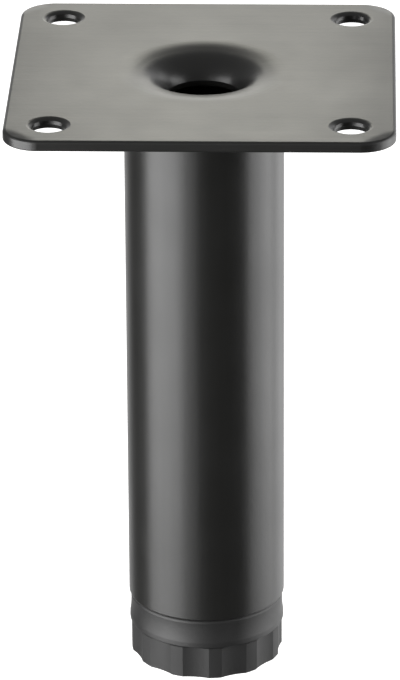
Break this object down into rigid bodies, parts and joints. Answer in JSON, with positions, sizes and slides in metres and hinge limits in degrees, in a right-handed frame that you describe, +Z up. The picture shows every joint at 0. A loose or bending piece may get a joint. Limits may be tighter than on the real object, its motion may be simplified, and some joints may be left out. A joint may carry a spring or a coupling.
{
  "type": "furniture leg",
  "caption": "Adjustable furniture leg: a square stamped mounting plate with a deep round dimple on a round steel tube, ending in a fluted plastic foot that screws out to level",
  "frame": {"origin": "on the floor, under the middle of the foot", "axes": "+Z runs up the tube to the plate, +X and +Y run along the plate's sides, and -Y faces the camera"},
  "size_m": [0.0716, 0.0716, 0.12],
  "materials": {
    "painted_steel": "satin black coat",
    "black_plastic": "fine moulded texture",
    "zinc_steel": "bright zinc"
  },
  "bodies": {
    "leg": {"mounting_plate": "painted_steel", "tube": "painted_steel", "insert": "black_plastic", "nut": "zinc_steel"},
    "spindle": {"spindle": "zinc_steel"},
    "foot": {"foot": "black_plastic"}
  },
  "joints": [
    {"name": "foot_extend", "type": "slide", "parent": "leg", "child": "spindle", "axis": [0, 0, -1], "range_m": [0, 0.015]},
    {"name": "foot_turn", "type": "hinge", "parent": "spindle", "child": "foot", "pos_m": [0, 0, 0], "axis": [0, 0, -1], "range_deg": [0, 3600]}
  ],
  "couplings": [
    {"joint": "foot_turn", "follows": "foot_extend", "rad_per_m": 4188.7}
  ]
}
